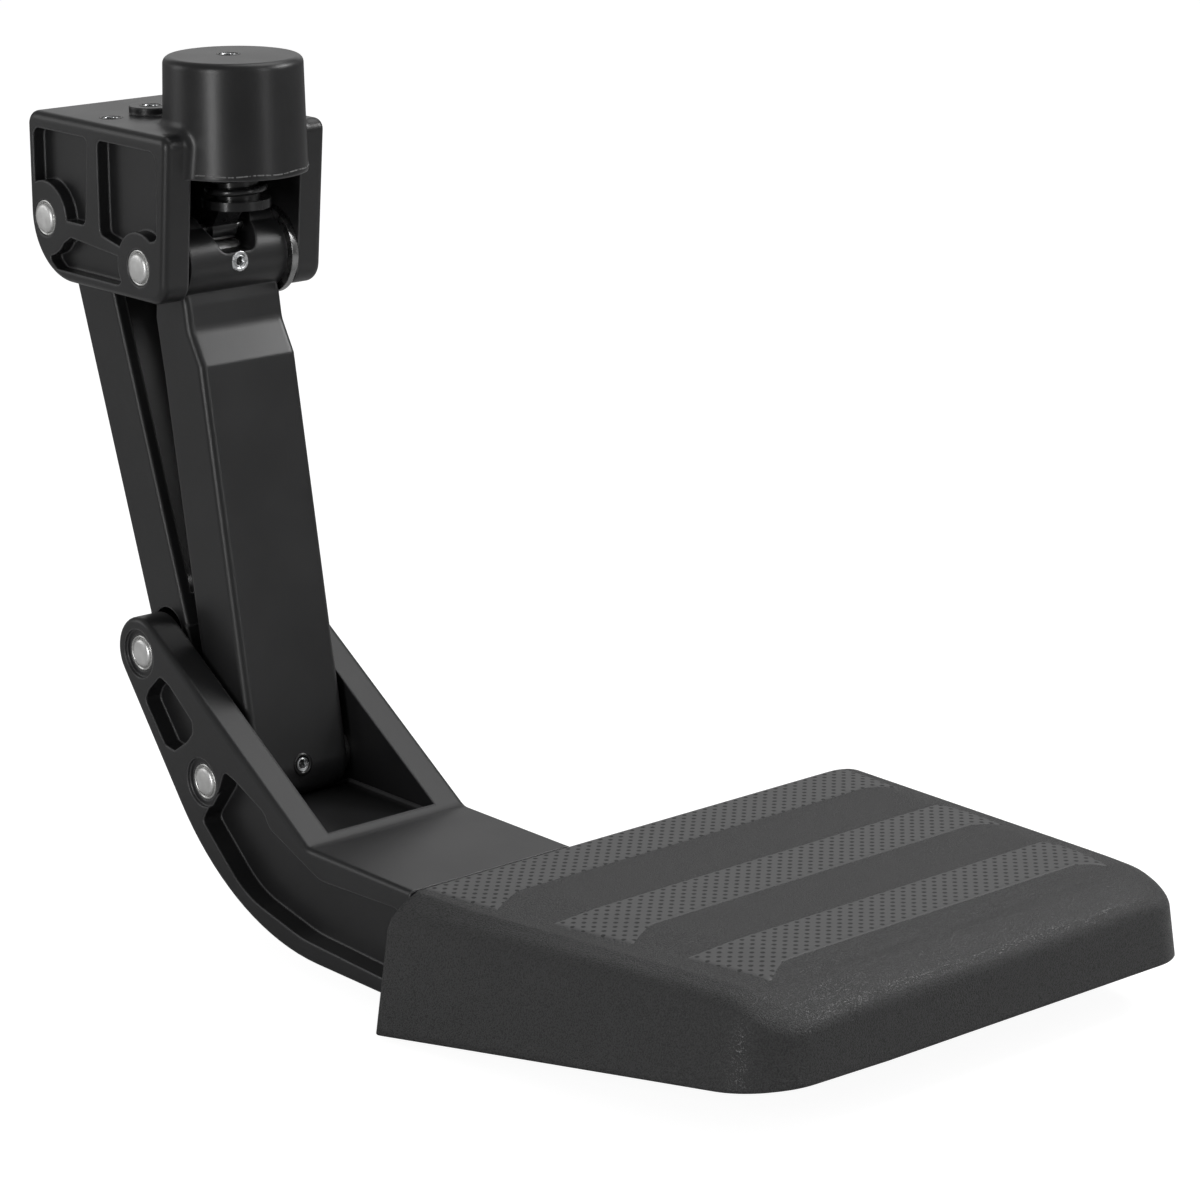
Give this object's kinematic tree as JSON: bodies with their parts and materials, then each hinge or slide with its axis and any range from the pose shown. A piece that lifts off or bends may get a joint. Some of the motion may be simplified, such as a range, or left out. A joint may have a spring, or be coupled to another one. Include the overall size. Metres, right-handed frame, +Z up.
{
  "type": "rear bumper step",
  "caption": "Folding step on two cast arms with an over-centre spring bracket and a wide moulded tread pad, for the corner of a pickup bumper.",
  "frame": {"origin": "centre of the tapped hole's mouth on top of the spring housing", "axes": "+Z up out of that hole, +Y towards the vehicle, +X along the pivot pins towards the wide end of the tread pad"},
  "size_m": [0.358, 0.5738, 0.4702],
  "materials": {
    "coated_casting": "satin black powder coat",
    "tread_pad": "grained black moulding",
    "black_steel": "gloss black",
    "spring": "gloss black",
    "washers": "turned",
    "bushes": "bright",
    "pins": "satin ground",
    "screws": "zinc plated"
  },
  "bodies": {
    "bracket": {"mounting_bracket": "coated_casting", "front_upper_bush_left": "bushes", "front_upper_bush_right": "bushes", "front_upper_washer_left": "washers", "front_upper_washer_right": "washers", "rear_upper_bush_left": "bushes", "rear_upper_bush_right": "bushes", "rear_upper_washer_left": "washers", "rear_upper_washer_right": "washers"},
    "front_arm": {"front_arm": "coated_casting", "front_upper_pin": "pins", "front_lower_pin": "pins", "front_upper_set_screw": "screws", "front_lower_set_screw": "screws", "link_pin": "pins"},
    "rear_arm": {"rear_arm": "coated_casting", "rear_upper_pin": "pins", "rear_upper_set_screw": "screws"},
    "step": {"step_carrier": "coated_casting", "step_pad": "tread_pad", "pad_screws": "screws", "rear_lower_pin": "pins", "front_lower_bush_left": "bushes", "front_lower_bush_right": "bushes", "front_lower_washer_left": "washers", "front_lower_washer_right": "washers", "rear_lower_bush_left": "bushes", "rear_lower_bush_right": "bushes", "rear_lower_washer_left": "washers", "rear_lower_washer_right": "washers"},
    "push_link": {"push_link": "black_steel"},
    "spring_seat": {"spring_seat": "black_steel", "compression_spring": "spring"}
  },
  "joints": [
    {"name": "step_fold", "type": "hinge", "parent": "bracket", "child": "front_arm", "pos_m": [0, 0.014, -0.11], "axis": [1, 0, 0], "range_deg": [0, 70]},
    {"name": "rear_arm_swing", "type": "hinge", "parent": "bracket", "child": "rear_arm", "pos_m": [0, 0.1012, -0.0952], "axis": [1, 0, 0], "range_deg": [0, 83.8]},
    {"name": "step_level", "type": "hinge", "parent": "front_arm", "child": "step", "pos_m": [0, -0.0335, -0.3839], "axis": [1, 0, 0], "range_deg": [-85.7, 0]},
    {"name": "link_swing", "type": "hinge", "parent": "front_arm", "child": "push_link", "pos_m": [0, 0.014, -0.0945], "axis": [1, 0, 0], "range_deg": [-103.5, 0]},
    {"name": "spring_travel", "type": "slide", "parent": "bracket", "child": "spring_seat", "axis": [0, 0, 1], "range_m": [-0.0031, 0], "deforming": ["compression_spring"]}
  ],
  "couplings": [
    {"joint": "rear_arm_swing", "follows": "step_fold", "ratio": 1.1957},
    {"joint": "step_level", "follows": "step_fold", "ratio": -1.2225},
    {"joint": "link_swing", "follows": "step_fold", "ratio": -1.474},
    {"joint": "spring_travel", "follows": "step_fold", "m_per_rad": -0.0025}
  ]
}
